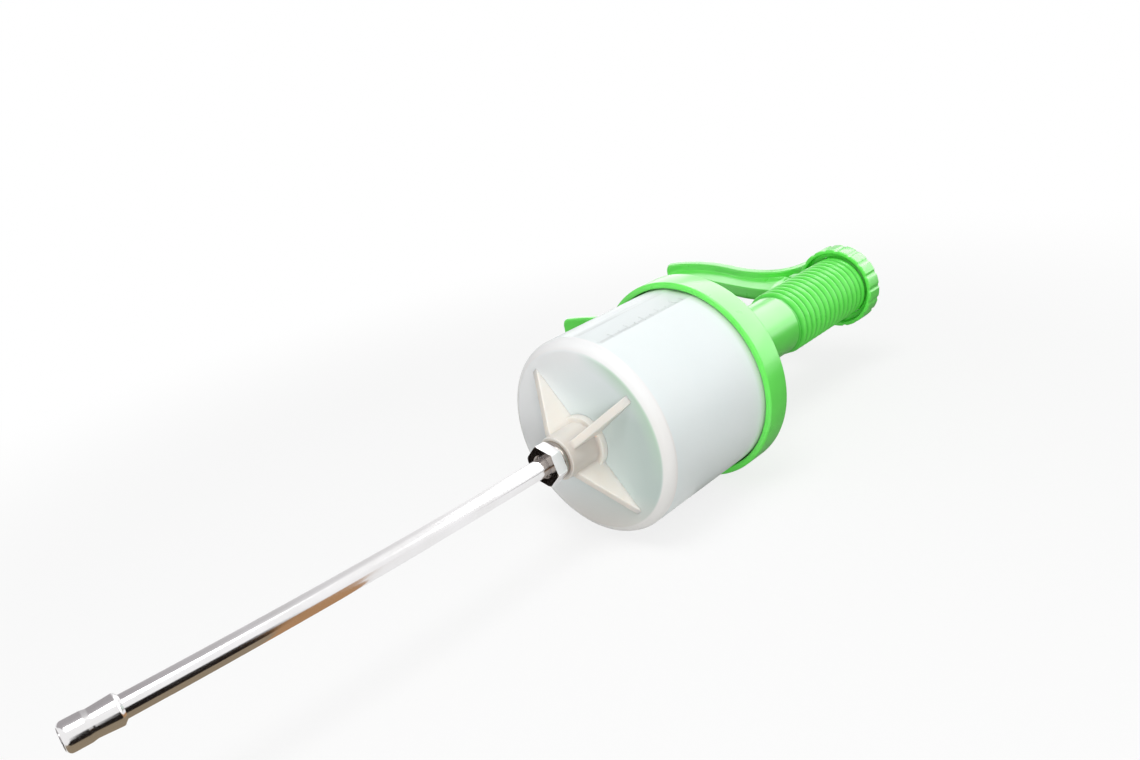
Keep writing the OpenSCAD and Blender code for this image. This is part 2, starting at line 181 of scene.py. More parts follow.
# Handle outlines as shares of the reach, from the dose nut's face or the cap's back
PALM_SHARES = [
    (0.163, 0.236), (0.122, 0.246), (0.084, 0.259), (0.054, 0.281), (0.028, 0.322), (0.016, 0.386),
    (0.030, 0.494), (0.068, 0.608), (0.100, 0.725), (0.112, 0.831), (0.106, 0.905), (0.088, 0.965),
    (0.056, 1.020)]
PALM_FRONT_SHARES = [
    (0.016, 0.990), (0.004, 0.796), (-0.051, 0.627), (-0.095, 0.471), (-0.124, 0.333), (-0.133, 0.242)]
FINGER_SHARES = [
    (-0.023, 0.240), (0.092, 0.305), (0.180, 0.390), (0.241, 0.492), (0.269, 0.602), (0.272, 0.712),
    (0.256, 0.808), (0.235, 0.880), (0.200, 0.952)]
FINGER_REAR_SHARES = [
    (0.242, 0.956), (0.300, 0.872), (0.356, 0.762), (0.380, 0.640), (0.382, 0.508), (0.380, 0.381),
    (0.384, 0.254), (0.395, 0.150)]

# Points drawn from knot to knot on a handle's line and its web's edge, and the knot where the palm web starts
LINE_STEPS = 10
EDGE_STEPS = 8
PALM_NECK = 4


# Material helpers

def new_material(name):
    """A material with a Principled shader; returns the material, its node tree and the shader."""
    material = bpy.data.materials.new(name)
    material.use_nodes = True
    tree = material.node_tree
    return material, tree, tree.nodes["Principled BSDF"]


def adjust(node, settings):
    """Sets a node's inputs from a table of names and values."""
    for name, value in settings.items():
        node.inputs[name].default_value = value


def noise(tree, scale, detail=3.0, stretch=(1, 1, 1)):
    """A noise in object space; returns its factor socket."""
    place = tree.nodes.new("ShaderNodeTexCoord")
    mapping = tree.nodes.new("ShaderNodeMapping")
    adjust(mapping, {"Scale": stretch})
    texture = tree.nodes.new("ShaderNodeTexNoise")
    adjust(texture, {"Scale": scale, "Detail": detail})
    tree.links.new(place.outputs["Object"], mapping.inputs["Vector"])
    tree.links.new(mapping.outputs["Vector"], texture.inputs["Vector"])
    return texture.outputs["Fac"]


def ramp(tree, factor, low, high):
    """Two colours along the middle of a noise's range; returns the colour socket."""
    node = tree.nodes.new("ShaderNodeValToRGB")
    for i, position, colour in ((0, 0.35, low), (1, 0.65, high)):
        node.color_ramp.elements[i].position = position
        node.color_ramp.elements[i].color = (*colour, 1)
    tree.links.new(factor, node.inputs["Fac"])
    return node.outputs["Color"]


def spread(tree, factor, low, high):
    """Two values along the middle of a noise's range; returns the value socket."""
    node = tree.nodes.new("ShaderNodeMapRange")
    adjust(node, {"From Min": 0.3, "From Max": 0.7, "To Min": low, "To Max": high})
    tree.links.new(factor, node.inputs["Value"])
    return node.outputs["Result"]


def bump(tree, shader, factor, strength):
    """A fine grain from a noise."""
    depth = 0.03
    node = tree.nodes.new("ShaderNodeBump")
    adjust(node, {"Strength": strength, "Distance": depth * MM})
    tree.links.new(factor, node.inputs["Height"])
    tree.links.new(node.outputs["Normal"], shader.inputs["Normal"])


def blend(tree, factor, first, second):
    """Mixes two colours, each a socket or three numbers, by a factor socket; returns the colour socket."""
    mix = tree.nodes.new("ShaderNodeMix")
    mix.data_type = "RGBA"
    tree.links.new(factor, mix.inputs["Factor"])
    for name, colour in (("A", first), ("B", second)):
        if isinstance(colour, tuple):
            mix.inputs[name].default_value = (*colour, 1)
        else:
            tree.links.new(colour, mix.inputs[name])
    return mix.outputs["Result"]


def between(tree, value, start, end):
    """Rises evenly from zero at one station to one at another, in millimetres; returns the socket."""
    node = tree.nodes.new("ShaderNodeMapRange")
    adjust(node, {"From Min": start * MM, "From Max": end * MM})
    tree.links.new(value, node.inputs["Value"])
    return node.outputs["Result"]


def stations(tree):
    """Sockets of a point's x, y and z from the barrel's front face, and of its distance from the axis."""
    place = tree.nodes.new("ShaderNodeTexCoord")
    centred = tree.nodes.new("ShaderNodeVectorMath")
    centred.operation = "SUBTRACT"
    centred.inputs[1].default_value = FACE
    flat = tree.nodes.new("ShaderNodeVectorMath")
    flat.operation = "MULTIPLY"
    flat.inputs[1].default_value = (0, 1, 1)
    radius = tree.nodes.new("ShaderNodeVectorMath")
    radius.operation = "LENGTH"
    split = tree.nodes.new("ShaderNodeSeparateXYZ")
    tree.links.new(place.outputs["Object"], centred.inputs[0])
    tree.links.new(centred.outputs["Vector"], flat.inputs[0])
    tree.links.new(centred.outputs["Vector"], split.inputs[0])
    tree.links.new(flat.outputs["Vector"], radius.inputs[0])
    return split.outputs["X"], split.outputs["Y"], split.outputs["Z"], radius.outputs["Value"]


def colour_of(shader):
    """The socket that gives a shader its colour."""
    return shader.inputs["Base Color"].links[0].from_socket


# Materials

def moulded(name, low, high, rough, grain=0.03):
    """Moulded plastic with cloudy colour, uneven gloss and a fine grain; returns what new_material does."""
    material, tree, shader = new_material(name)
    tree.links.new(ramp(tree, noise(tree, scale=40), low, high), shader.inputs["Base Color"])
    tree.links.new(spread(tree, noise(tree, scale=120), *rough), shader.inputs["Roughness"])
    bump(tree, shader, noise(tree, scale=1500, detail=2.0), grain)
    return material, tree, shader


def green(name):
    """Bright green moulded plastic with a glossy skin; returns what new_material does."""
    made = moulded(name, low=(0.145, 0.90, 0.105), high=(0.170, 0.94, 0.125), rough=(0.27, 0.33))
    adjust(made[2], {"Specular IOR Level": 0.5, "Coat Weight": 0.45, "Coat Roughness": 0.14})
    return made


def green_plastic():
    return green("green_plastic")[0]


def green_painted_groove_shade():
    """The green plastic with painted shade, darker towards the bottom of the thread's grooves."""
    material, tree, shader = green("green_painted_groove_shade")
    # Painted shade: the colour deepens towards the bottom of the grooves.
    groove_shade, crest = (0.020, 0.48, 0.016), 0.3
    up = between(tree, stations(tree)[3], GRIP_R - GROOVE, CREST_R - crest)
    tree.links.new(blend(tree, up, groove_shade, colour_of(shader)), shader.inputs["Base Color"])
    return material


def milky_plastic():
    """Milky plastic that scatters light. Its front face is thinner and so greyer, with painted shade away
    from the handles and at the bottom and a painted highlight at the top. Its corner is painted paler at the
    top. The face's upper edge carries a painted green glow of the ring, and the wall by the cap ring carries
    painted shade tinged green."""
    material, tree, shader = moulded("milky_plastic", low=(0.85, 0.92, 0.925), high=(0.86, 0.93, 0.935),
                                     rough=(0.24, 0.27), grain=0.01)
    face_shade_side, face_lit_side = (0.59, 0.69, 0.655), (0.91, 0.96, 0.985)
    face_shade_low, face_highlight_top, face_ring_glow = (0.80, 0.77, 0.73), (0.93, 0.98, 1.0), (0.60, 0.77, 0.64)
    corner_shade_low, corner_highlight_top, wall_ring_shade = (0.875, 0.87, 0.855), (0.95, 0.97, 0.975), (0.64, 0.73, 0.64)
    x, y, z, radius = stations(tree)
    # Painted shade at the bottom and painted highlight at the top, for the face and the corner.
    low = between(tree, z, -20, -42)
    high = between(tree, z, 12, 40)

    # Painted shade: the face darkens away from the handles.
    near = between(tree, y, -30, 30)
    face = blend(tree, near, face_shade_side, face_lit_side)
    face = blend(tree, low, face, face_shade_low)
    face = blend(tree, high, face, face_highlight_top)

    # Painted glow: the ring's green on the face's outer edge.
    outer, away, above = between(tree, radius, 33, 40), between(tree, y, -4, -22), between(tree, z, -14, 8)
    glow = blend(tree, outer, face, face_ring_glow)
    glow = blend(tree, away, face, glow)
    face = blend(tree, above, face, glow)

    past_corner = between(tree, x, CORNER_R + 0.2, CORNER_R + 1)
    # Painted shade, tinged green, on the wall by the cap ring.
    ring_shade_share = between(tree, x, X_RING - 3, X_RING)
    corner = blend(tree, high, corner_shade_low, corner_highlight_top)
    side = blend(tree, past_corner, corner, colour_of(shader))
    side = blend(tree, ring_shade_share, side, wall_ring_shade)

    past_face = between(tree, radius, FACE_R + 0.3, FACE_R + 1.1)
    tree.links.new(blend(tree, past_face, face, side), shader.inputs["Base Color"])
    adjust(shader, {"Specular IOR Level": 0.12, "Subsurface Weight": 0.7,
                    "Subsurface Radius": (1.0, 1.0, 1.0), "Subsurface Scale": 1.2 * MM})
    return material


def cream_plastic():
    """The thicker plastic of the hub and fins. The hub is painted darker, as shade, on its side towards
    negative y.
    """
    material, tree, shader = moulded("cream_plastic", low=(0.79, 0.755, 0.70), high=(0.82, 0.785, 0.73),
                                     rough=(0.32, 0.40), grain=0.02)
    plain, hub_shade = colour_of(shader), (0.65, 0.60, 0.55)
    _, y, _, radius = stations(tree)
    # Painted shade on the hub's side towards negative y.
    away = between(tree, y, -2, -9)
    on_hub = between(tree, radius, HUB_R + 1.5, HUB_R + 0.3)
    shaded = blend(tree, away, plain, hub_shade)
    tree.links.new(blend(tree, on_hub, plain, shaded), shader.inputs["Base Color"])
    adjust(shader, {"Subsurface Weight": 0.8,
                    "Subsurface Radius": (1.0, 0.9, 0.8), "Subsurface Scale": 3 * MM})
    return material


def white_plastic():
    return moulded("white_plastic", low=(0.80, 0.80, 0.77), high=(0.86, 0.86, 0.83), rough=(0.38, 0.50))[0]


def rubber():
    return moulded("rubber", low=(0.018, 0.018, 0.020), high=(0.032, 0.032, 0.034), rough=(0.55, 0.72),
                   grain=0.15)[0]


def metal(name, low, high, rough, stretch, grain):
    """Bare or plated metal with drawn marks along one direction."""
    material, tree, shader = new_material(name)
    adjust(shader, {"Metallic": 1.0})
    tree.links.new(ramp(tree, noise(tree, scale=60), low, high), shader.inputs["Base Color"])
    marks = noise(tree, scale=420, detail=4.0, stretch=stretch)
    tree.links.new(spread(tree, marks, *rough), shader.inputs["Roughness"])
    bump(tree, shader, noise(tree, scale=1800, detail=2.0, stretch=stretch), grain)
    return material


def chrome():
    return metal("chrome", low=(0.82, 0.81, 0.81), high=(0.88, 0.87, 0.88), rough=(0.14, 0.18),
                 stretch=(0.06, 1, 1), grain=0.01)


def satin_chrome():
    return metal("satin_chrome", low=(0.90, 0.88, 0.89), high=(0.95, 0.93, 0.94), rough=(0.34, 0.42),
                 stretch=(0.1, 1, 1), grain=0.03)


def turned_shaded_chrome():
    # Chrome darkened as painted shade, for the nut's turned ends and the fitting.
    return metal("turned_shaded_chrome", low=(0.36, 0.32, 0.29), high=(0.42, 0.38, 0.35), rough=(0.14, 0.18),
                 stretch=(1, 0.3, 0.3), grain=0.01)


def steel():
    return metal("steel", low=(0.50, 0.50, 0.51), high=(0.60, 0.61, 0.62), rough=(0.22, 0.34),
                 stretch=(1, 0.2, 0.2), grain=0.12)


def spring_steel():
    return metal("spring_steel", low=(0.40, 0.40, 0.42), high=(0.52, 0.52, 0.54), rough=(0.20, 0.30),
                 stretch=(0.3, 1, 1), grain=0.08)


LOOKS = {
    "green_plastic": green_plastic(), "milky_plastic": milky_plastic(), "white_plastic": white_plastic(),
    "chrome": chrome(), "steel": steel(), "spring_steel": spring_steel(), "rubber": rubber(),
}
CREAM = cream_plastic()
GREEN_GROOVE_SHADE = green_painted_groove_shade()
SATIN = satin_chrome()
TURNED_SHADED = turned_shaded_chrome()


# Mesh makers, which return points in millimetres and faces

def joined(*parts):
    """Several point and face lists as one."""
    points, faces = [], []
    for part_points, part_faces in parts:
        shift = len(points)
        points += part_points
        faces += [tuple(i + shift for i in face) for face in part_faces]
    return points, faces


def lathe(outline, steps, drop=None):
    """A closed outline of (x, r) points turned round the axis. drop(angle, x, r) can lower a point."""
    points, faces = [], []
    count = len(outline)
    for x, r in outline:
        for k in range(steps):
            angle = 2 * math.pi * k / steps
            low = r - (drop(angle, x, r) if drop else 0)
            points.append(Vector((x, low * math.cos(angle), low * math.sin(angle))))
    for i in range(count):
        for k in range(steps):
            j, n = (i + 1) % count, (k + 1) % steps
            faces.append((i * steps + k, j * steps + k, j * steps + n, i * steps + n))
    return points, faces


def round_sleeve(x0, x1, bore, radius):
    """A plain round sleeve from one station to another."""
    return lathe([(x0, bore), (x0, radius), (x1, radius), (x1, bore)], steps=96)


def slotted_tube(x0, x1, rows, outer):
    """A stretch of grip tube that is open along the slot. outer(x, share) gives its outside radius at a share
    of the way round from one edge of the slot to the other."""
    steps = 160
    points, faces = [], []
    width = 2 * (steps + 1)
    for i in range(rows + 1):
        x = x0 + (x1 - x0) * i / rows
        for inside in (False, True):
            for k in range(steps + 1):
                share = k / steps if not inside else 1 - k / steps
                r = GRIP_BORE if inside else outer(x, share)
                edge = math.asin(SLOT_HALF / r)
                angle = edge + share * 2 * (math.pi - edge)
                points.append(Vector((x, r * math.cos(angle), r * math.sin(angle))))
    for i in range(rows):
        for k in range(width):
            n = (k + 1) % width
            faces.append((i * width + k, (i + 1) * width + k, (i + 1) * width + n, i * width + n))
    last = rows * width
    for k in range(steps):
        other = width - 2 - k
        faces.append((k, k + 1, other, other + 1))
        faces.append((last + k + 1, last + k, last + other + 1, last + other))
    return points, faces


def plate(outline, half):
    """A flat plate in the handle plane, from an outline of (x, y) points."""
    count = len(outline)
    points = [Vector((p[0], p[1], z)) for z in (-half, half) for p in outline]
    faces = [tuple(range(count - 1, -1, -1)), tuple(range(count, 2 * count))]
    faces += [(i, (i + 1) % count, count + (i + 1) % count, count + i) for i in range(count)]
    return points, faces


def skin(rings):
    """A closed skin over rings of points, with flat ends."""
    sides = len(rings[0])
    points = [p for ring in rings for p in ring]
    faces = []
    for i in range(len(rings) - 1):
        for k in range(sides):
            n = (k + 1) % sides
            faces.append((i * sides + k, i * sides + n, (i + 1) * sides + n, (i + 1) * sides + k))
    faces.append(tuple(range(sides - 1, -1, -1)))
    faces.append(tuple(range((len(rings) - 1) * sides, len(rings) * sides)))
    return points, faces


# Lines and outlines in two dimensions

def filleted(corners, steps=6):
    """A closed outline of (a, b, fillet radius) corners, with arcs at the corners that have a radius."""
    outline = []
    for i, (a, b, r) in enumerate(corners):
        here = Vector((a, b))
        if not r:
            outline.append(here)
            continue
        back = (Vector(corners[i - 1][:2]) - here).normalized()
        on = (Vector(corners[(i + 1) % len(corners)][:2]) - here).normalized()
        half = back.angle(on) / 2
        middle = here + (back + on).normalized() * (r / math.sin(half))
        start = here + back * (r / math.tan(half)) - middle
        turn = start.angle_signed(here + on * (r / math.tan(half)) - middle)
        for k in range(steps + 1):
            outline.append(middle + Matrix.Rotation(-turn * k / steps, 2) @ start)
    return outline


def bowed(x0, r0, x1, r1, rise, steps=10):
    """Points of a flat arc from one outline point to another, bowed outwards by rise."""
    start, end = Vector((x0, r0)), Vector((x1, r1))
    out = Vector((r0 - r1, x1 - x0)).normalized()
    shares = [k / steps for k in range(steps + 1)]
    return [start.lerp(end, share) + out * rise * (1 - (2 * share - 1) ** 2) for share in shares]


def curve(shares, x0, steps):
    """A smooth line through shares of the reach, as (x, y) points."""
    knots = [Vector((x0 + s[0] * REACH, s[1] * REACH)) for s in shares]
    line = []
    for i in range(len(knots) - 1):
        a, b, c = knots[max(i - 1, 0)], knots[i], knots[i + 1]
        d = knots[min(i + 2, len(knots) - 1)]
        for k in range(steps):
            u = k / steps
            line.append(0.5 * (2 * b + (c - a) * u + (2 * a - 5 * b + 4 * c - d) * u ** 2
                               + (3 * b - a - 3 * c + d) * u ** 3))
    return line + [knots[-1]]


def inward(line, i, side):
    """Unit vector from a handle's line into the handle."""
    heading = (line[min(i + 1, len(line) - 1)] - line[max(i - 1, 0)]).normalized()
    return side * Vector((-heading.y, heading.x))


def inset(line, depth, side):
    """A handle's line, moved into the handle."""
    return [p + depth * inward(line, i, side) for i, p in enumerate(line)]


def x_on(line, y):
    """Station of a line at a height, on a line whose heights only rise or only fall."""
    for a, b in zip(line, line[1:]):
        if min(a.y, b.y) <= y <= max(a.y, b.y):
            return a.x + (b.x - a.x) * (y - a.y) / (b.y - a.y)
    return min(line, key=lambda p: abs(p.y - y)).x


# Handle makers

def bead(line, side, depth_at):
    """A flange along a handle's line, a little narrower inside, with turned edges and round corners at its
    tip. depth_at(share) gives its depth at a share of the line."""
    rings = []
    for i, p in enumerate(line):
        n = inward(line, i, side)
        depth = depth_at(i / (len(line) - 1))
        left = min(BEAD_CORNER, (line[-1] - p).length)
        half = BEAD_HALF - BEAD_CORNER + math.sqrt(BEAD_CORNER ** 2 - (BEAD_CORNER - left) ** 2)
        inner = half - BEAD_DRAFT
        edge = min(BEAD_EDGE, 0.3 * depth)
        corners = [(half, 0, edge), (-half, 0, edge), (-inner, depth, edge), (inner, depth, edge)]
        section = filleted(corners, steps=5)
        rings.append([Vector((p.x + n.x * d, p.y + n.y * d, -side * z)) for z, d in section])
    return skin(rings)


def wedge(root, edge, y0, side):
    """A web that thickens from its free edge to the flange, as a skin over sections at even heights."""
    steps, inside, sink = 60, 0.5, 0.1
    thin = WEB_HALF - sink
    rings = []
    for i in range(steps + 1):
        y = y0 + (edge[0].y - y0) * i / steps
        thick = WEB_HALF + (WEB_ROOT_HALF - WEB_HALF) * min(1, (y - y0) / WEB_GROW)
        x_root, x_edge = x_on(root, y), x_on(edge, y) + side * inside
        rings.append([Vector((x_root, y, -thick)), Vector((x_root, y, thick)),
                      Vector((x_edge, y, thin)), Vector((x_edge, y, -thin))])
    return skin(rings)


# Pieces

def piece(name, part, body, look, sharp=35):
    """A mesh object in the frame that rides on a body and takes a material. Edges over the sharp angle stay
    hard."""
    points, faces = part
    mesh = bpy.data.meshes.new(name)
    mesh.from_pydata([at(*p) for p in points], [], faces)
    shell = bmesh.new()
    shell.from_mesh(mesh)
    bmesh.ops.recalc_face_normals(shell, faces=shell.faces)
    shell.to_mesh(mesh)
    shell.free()
    mesh.shade_smooth()
    mesh.set_sharp_from_angle(angle=math.radians(sharp))
    made = bpy.data.objects.new(name, mesh)
    bpy.context.scene.collection.objects.link(made)
    made.data.materials.append(look)
    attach(made, body)
    return made


def fused(made, voxel, smoothing):
    """Melts the overlapping shells of a piece into one skin with soft corners."""
    remesh = made.modifiers.new("melt", "REMESH")
    remesh.mode = "VOXEL"
    remesh.voxel_size = voxel * MM
    soft = made.modifiers.new("soften", "SMOOTH")
    soft.factor = 0.5
    soft.iterations = smoothing
    bpy.context.view_layer.update()
    graph = bpy.context.evaluated_depsgraph_get()
    mesh = bpy.data.meshes.new_from_object(made.evaluated_get(graph))
    made.modifiers.clear()
    made.data = mesh
    mesh.shade_smooth()


def make_barrel():
    """Milky cup with a bowed front corner and a flat strip for its scale."""
    bore = BARREL_R - BARREL_WALL
    hole = HUB_R - 1
    edge, rise, rim = 0.3, 0.95, 0.4
    outline = [Vector((0, hole)), Vector((0, FACE_R - edge)), *bowed(0, FACE_R, CORNER_R, BARREL_R, rise)]
    outline += [Vector((x, BARREL_R)) for x in (CORNER_R + edge, X_STRIP - edge, X_STRIP)]
    outline += filleted([(X_RIM, BARREL_R, rim), (X_RIM, bore, rim),
                         (FRONT_WALL, bore, CORNER_R - BARREL_WALL), (FRONT_WALL, hole, 0)])

    def drop(angle, x, r):
        """How far the strip lies below the round."""
        off = (angle - STRIP_TURN + math.pi) % (2 * math.pi) - math.pi
        on_outside = r > bore + BARREL_WALL / 2
        if x < X_STRIP or not on_outside or abs(off) > STRIP_HALF:
            return 0
        return r - BARREL_R * math.cos(STRIP_HALF) / math.cos(off)

    shell = piece("barrel_shell", lathe(outline, steps=720, drop=drop), "body", LOOKS["milky_plastic"],
                  sharp=50)
    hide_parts("barrel")


def make_hub():
    """Outlet hub on a wider foot, with its fins."""
    sink = 0.6
    fin_root = SPIGOT_R + 1
    x_fin = X_HUB + HUB_FOOT_LEN
    points, faces = plate([(sink, fin_root), (sink, FIN_REACH + sink), (0, FIN_REACH), (x_fin, HUB_R),
                           (x_fin, fin_root)], FIN_T / 2)
    parts = [round_sleeve(X_HUB, FRONT_WALL, SPIGOT_R, HUB_R),
             round_sleeve(-HUB_FOOT_LEN, sink, SPIGOT_R, HUB_FOOT_R)]
    for i in range(FIN_COUNT):
        turn = Matrix.Rotation(FIN_TURN + 2 * math.pi * i / FIN_COUNT, 3, "X")
        parts.append(([turn @ p for p in points], faces))
    front = piece("barrel_front", joined(*parts), "body", CREAM)
    fused(front, voxel=0.3, smoothing=6)
    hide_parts("barrel")


def make_scale():
    """Raised ticks on the barrel's strip, long and short in turn."""
    first, step, count = 15, 5, 10
    long, short, margin = 4.2, 2.6, 0.8
    half, high, sink = 0.3, 0.15, 0.3
    seat = BARREL_R * math.cos(STRIP_HALF)
    end = BARREL_R * math.sin(STRIP_HALF) - margin
    ticks = []
    for i in range(count):
        x = first + step * i
        start = end - (long if i % 2 == 0 else short)
        corners = ((x - half, start), (x + half, start), (x + half, end), (x - half, end))
        ticks.append(skin([[Vector((a, b, seat + c)) for a, b in corners] for c in (-sink, high)]))
    points, faces = joined(*ticks)
    turn = Matrix.Rotation(STRIP_TURN - math.pi / 2, 3, "X")
    points = [turn @ Vector((p.x, -p.y, p.z)) for p in points]
    scale = piece("barrel_scale", (points, faces), "body", LOOKS["milky_plastic"])
    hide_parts("barrel")


def on_tube(s, y, z):
    """A place beside the tube's middle line, s millimetres along it from its seat in the nut."""
    turn = min(s, TUBE_LEN) / CURVE_R
    past = max(0, s - TUBE_LEN)
    across = CURVE_R - y
    return Vector((X_SEAL - across * math.sin(turn) - past * math.cos(turn),
                   CURVE_R - across * math.cos(turn) + past * math.sin(turn), z))


def make_tube():
    """Chromed tube on one gentle arc."""
    rows = 60
    outside = [Vector((TUBE_LEN * k / rows, TUBE_R)) for k in range(rows + 1)]
    inside = [Vector((p.x, WAY_R)) for p in reversed(outside)]
    points, faces = lathe(outside + inside, steps=96)
    bent = [on_tube(*p) for p in points]
    tube = piece("nozzle_tube_bent", (bent, faces), "body", LOOKS["chrome"])
    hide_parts("nozzle_tube")


def make_tip():
    """Waisted tip on the tube's end."""
    back = TUBE_LEN - TIP_SOCKET
    front = back + TIP_LEN
    shoulder, waist, swell = (back + TIP_LEN * share for share in (0.07, 0.5, 0.6))
    waist_r, nose_r = TIP_R * 0.9, TIP_R * 0.96
    socket_r, mouth_r = TUBE_R + 0.05, TUBE_R + 0.2
    shoulder_edge, waist_edge, nose_edge, outlet_edge = 1, 2.5, 2, 0.4
    outline = filleted([
        (back, socket_r, 0), (back, mouth_r, 0), (shoulder, TIP_R, shoulder_edge),
        (waist, waist_r, waist_edge), (swell, nose_r, nose_edge), (front, nose_r, nose_edge),
        (front, OUTLET_R, outlet_edge), (TUBE_LEN, OUTLET_R, 0), (TUBE_LEN, socket_r, 0)], steps=8)
    points, faces = lathe(outline, steps=128)
    turned = [on_tube(*p) for p in points]
    tip = piece("nozzle_tip_olive", (turned, faces), "body", LOOKS["chrome"], sharp=30)
    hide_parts("nozzle_tip")


def make_nut():
    """Chromed hexagon nut with satin flats, turned ends in a darker chrome that is painted shade, and its
    corners turned off.
    """
    sixth = math.pi / 3
    half = NUT_FLATS / 2
    soft, lean, sunk, fit = 0.35, 0.5, 0.9, 0.2
    corner_r = half / math.cos(sixth / 2)
    turned_r = half + 0.65
    bevel, bevel_rows = (corner_r - turned_r) * lean, 6
    seat, way = SPIGOT_R + fit, TUBE_R + fit
    x_floor = X_NUT + 1.2

    def hexagon(angle):
        """Radius of a hexagon with slightly soft corners."""
        off = (angle - NUT_TURN + sixth / 2) % sixth - sixth / 2
        flat = half / math.cos(sixth / 2 - abs(off))
        middle = (half - soft) / math.cos(sixth / 2)
        side = middle * math.sin(off)
        if abs(side) >= soft:
            return flat
        return min(flat, middle * math.cos(off) + math.sqrt(soft ** 2 - side ** 2))

    def drop(angle, x, r):
        """How far the hexagon and its turned ends lie below the corners' round."""
        if r < half:
            return 0
        turned = turned_r + min(x - X_NUT, X_FLANGE - x) / lean
        return r - min(hexagon(angle), turned)

    rows = [bevel * k / bevel_rows for k in range(bevel_rows + 1)]
    outline = [Vector((X_NUT + sunk, way)), Vector((X_NUT, way + sunk))]
    outline += [Vector((X_NUT + row, corner_r)) for row in rows]
    outline += [Vector((X_FLANGE - row, corner_r)) for row in reversed(rows)]
    outline += [Vector((X_FLANGE, seat)), Vector((x_floor, seat)), Vector((x_floor, way))]
    nut = piece("nozzle_nut_hexagon", lathe(outline, steps=360, drop=drop), "body", SATIN, sharp=25)
    nut.data.materials.append(TURNED_SHADED)
    # Faces along the axis take the darker chrome, which is painted shade.
    for face in nut.data.polygons:
        faces_along = abs(face.normal.x) >= 0.5
        face.material_index = 1 if faces_along else 0
    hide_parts("nozzle_nut")


def make_fitting():
    """Fitting screwed into the hub, with the flange that the nut sits on, in a darker chrome that is painted
    shade.
    """
    flange_edge, end_edge = 0.4, 0.3
    outline = filleted([
        (X_SPIGOT, WAY_R, 0), (X_SPIGOT, SPIGOT_R, 0), (X_FLANGE, SPIGOT_R, 0),
        (X_FLANGE, FLANGE_R, flange_edge), (X_HUB, FLANGE_R, flange_edge), (X_HUB, SPIGOT_R, 0),
        (X_FITTING_END, SPIGOT_R, end_edge), (X_FITTING_END, WAY_R, 0)])
    fitting = piece("hub_fitting_turned", lathe(outline, steps=128), "body", TURNED_SHADED)
    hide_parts("hub_fitting")


def make_tail_plug():
    """Plug that closes the grip tube."""
    axis = 0.01
    neck = GRIP_BORE - 0.2
    flange = X_PLUG + 2.5
    neck_edge, flange_edge, face_edge = 0.3, 0.2, 0.8
    outline = filleted([
        (X_PLUG, axis, 0), (X_PLUG, neck, neck_edge), (flange, neck, 0), (flange, PLUG_R, flange_edge),
        (X_PLUG_END, PLUG_R, face_edge), (X_PLUG_END, axis, 0)])
    plug = piece("tail_plug_disc", lathe(outline, steps=128), "body", LOOKS["green_plastic"])
    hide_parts("tail_plug")


def make_cap():
    """Cap ring, floor and smooth grip tube, which is open along its slot."""
    bore = BARREL_R + CAP_GAP
    flare = 2.5
    mouth_edge, front_edge, back_edge, floor_edge = 0.9, 1.0, 1.2, 0.5
    outline = filleted([
        (X_RING, bore, mouth_edge), (X_RING, CAP_R, front_edge), (X_BACK, CAP_R, back_edge),
        (X_BACK, GRIP_R + flare, 0), (X_BACK + flare, GRIP_R, 0), (X_SLOT, GRIP_R, 0), (X_SLOT, GRIP_BORE, 0),
        (X_BACK, GRIP_BORE, 0), (X_BACK, GUIDE_R, 0), (X_FLOOR, GUIDE_R, 0), (X_FLOOR, bore, floor_edge)])
    tube = slotted_tube(X_SLOT, X_THREAD, rows=24, outer=lambda x, share: GRIP_R)
    cap = piece("cap_and_grip", joined(lathe(outline, steps=256), tube), "body", LOOKS["green_plastic"])
    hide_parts("housing")


def make_finger_handle():
    """Fixed front handle: a flange and a web that thickens towards it."""
    line = curve(FINGER_SHARES, X_BACK, LINE_STEPS)
    rear = curve(FINGER_REAR_SHARES, X_BACK, EDGE_STEPS)
    root = (GRIP_R + GRIP_BORE) / 2
    foot = inset(line, BEAD_DEPTH / 2, -1)
    web = [(X_FLOOR + CAP_FLOOR / 2, root), *foot, *rear, (rear[-1].x, root)]
    flange = bead(line, -1, lambda share: BEAD_DEPTH)
    parts = joined(flange, plate(web, WEB_HALF), wedge(foot, rear, root, -1))
    handle = piece("finger_handle", parts, "body", LOOKS["green_plastic"])
    fused(handle, voxel=0.4, smoothing=5)
    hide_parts("housing")


def make_thread():
    """Dose thread as one rounded helical ridge on the sleeve, which grows from the smooth tube."""
    rows_per_turn, plain = 20, 0.3
    height = CREST_R - GRIP_R

    def outer(x, share):
        along = x - X_THREAD
        wave = 0.5 - 0.5 * math.cos(2 * math.pi * (along / THREAD_PITCH - share))
        grown = max(0.0, min(1.0, (along - plain) / THREAD_LEAD))
        return GRIP_R - GROOVE * grown + (height + GROOVE) * grown * wave ** 0.5

    rows = int((X_TAIL - X_THREAD) / THREAD_PITCH * rows_per_turn)
    # The thread's green carries painted shade in its grooves.
    thread = piece("thread_sleeve_helix", slotted_tube(X_THREAD, X_TAIL, rows, outer), "body", GREEN_GROOVE_SHADE)
    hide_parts("thread_sleeve")


